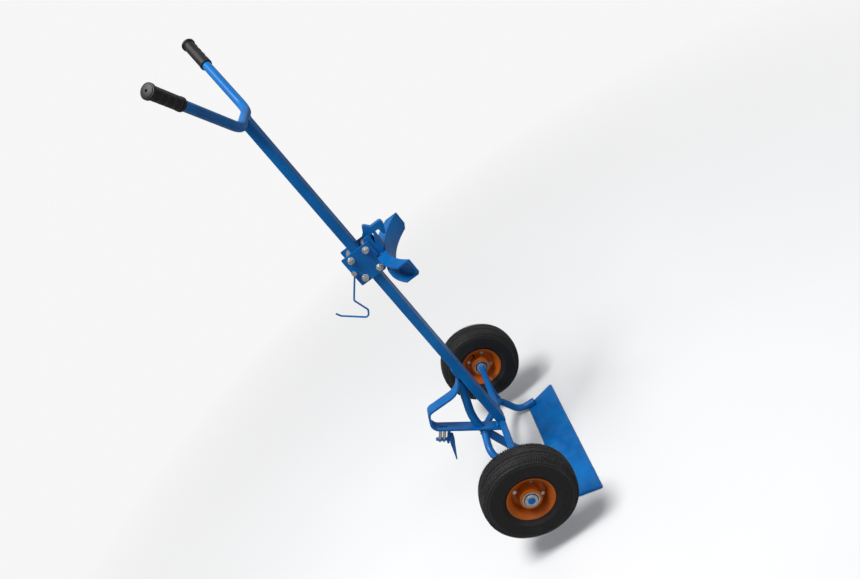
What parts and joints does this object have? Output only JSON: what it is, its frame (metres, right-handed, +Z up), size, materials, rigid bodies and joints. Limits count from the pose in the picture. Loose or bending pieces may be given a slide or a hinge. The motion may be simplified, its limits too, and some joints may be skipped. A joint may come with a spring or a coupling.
{
  "type": "drum dolly",
  "caption": "Upright drum dolly on pneumatic wheels, with a V handlebar, toe plate, rear prop stand and a sliding cradle that carries a rim hook and a wire hook",
  "frame": {"origin": "in the middle of the toe plate's underside, on the floor plane, 80 mm in front of the mast's front face", "axes": "+X to the operator's right along the wheel axle, +Y forward to the drum, +Z up along the mast"},
  "size_m": [0.773, 0.3378, 1.5249],
  "materials": {
    "blue_paint": "glossy powder coat",
    "orange_paint": "gloss",
    "zinc": "satin zinc plate",
    "bearing_steel": "ground",
    "tyre_rubber": "matte",
    "tube_rubber": "matte",
    "seal_rubber": "satin",
    "grip_rubber": "satin"
  },
  "bodies": {
    "frame": {"spine_tube": "blue_paint", "handlebar": "blue_paint", "axle_bar": "blue_paint", "axle_circlips": "zinc", "axle_washers": "zinc", "axle_collars": "zinc", "toe_plate": "blue_paint", "back_tube": "blue_paint", "foot_stirrup": "blue_paint", "stirrup_lug": "blue_paint", "leg_right": "blue_paint", "leg_left": "blue_paint", "axle_struts": "blue_paint", "grip_right": "grip_rubber", "grip_left": "grip_rubber", "stand_bracket": "blue_paint", "stand_bolts": "blue_paint", "stand_sleeves": "zinc", "stand_nuts": "zinc", "stand_pin": "blue_paint"},
    "wheel_right": {"tyre_right": "tyre_rubber", "inner_tube_right": "tube_rubber", "rim_outer_right": "orange_paint", "rim_inner_right": "orange_paint", "hub_tube_right": "orange_paint", "bearing_races_right": "bearing_steel", "bearing_seals_right": "seal_rubber", "spacer_sleeve_right": "bearing_steel", "rim_bolts_right": "zinc", "rim_nuts_right": "zinc", "valve_right": "seal_rubber"},
    "wheel_left": {"tyre_left": "tyre_rubber", "inner_tube_left": "tube_rubber", "rim_outer_left": "orange_paint", "rim_inner_left": "orange_paint", "hub_tube_left": "orange_paint", "bearing_races_left": "bearing_steel", "bearing_seals_left": "seal_rubber", "spacer_sleeve_left": "bearing_steel", "rim_bolts_left": "zinc", "rim_nuts_left": "zinc", "valve_left": "seal_rubber"},
    "carriage": {"carriage_plate_right": "blue_paint", "carriage_plate_left": "blue_paint", "carriage_bolts": "zinc", "carriage_nuts": "zinc", "carriage_washers": "zinc", "guide_spacers": "zinc", "cradle_channel": "blue_paint", "hook_housing": "blue_paint", "hook_pin": "blue_paint", "wire_bolt": "zinc", "wire_nut": "zinc"},
    "beak": {"beak_hook": "blue_paint"},
    "wire": {"wire_hook": "blue_paint"},
    "prop": {"prop_leg": "blue_paint"}
  },
  "joints": [
    {"name": "wheel_right_spin", "type": "hinge", "parent": "frame", "child": "wheel_right", "pos_m": [0.3445, -0.094, 0.187], "axis": [1, 0, 0], "continuous": true},
    {"name": "wheel_left_spin", "type": "hinge", "parent": "frame", "child": "wheel_left", "pos_m": [-0.3445, -0.094, 0.187], "axis": [1, 0, 0], "continuous": true},
    {"name": "carriage_slide", "type": "slide", "parent": "frame", "child": "carriage", "axis": [0, 0, 1], "range_m": [0, 0.38]},
    {"name": "beak_hinge", "type": "hinge", "parent": "carriage", "child": "beak", "pos_m": [0, -0.0465, 0.88], "axis": [1, 0, 0], "range_deg": [0, 25]},
    {"name": "wire_hinge", "type": "hinge", "parent": "carriage", "child": "wire", "pos_m": [0.037, -0.13, 0.8405], "axis": [1, 0, 0], "range_deg": [-70, 36]},
    {"name": "prop_hinge", "type": "hinge", "parent": "frame", "child": "prop", "pos_m": [0, -0.24294, 0.23527], "axis": [1, 0, 0], "range_deg": [0, 70]}
  ]
}
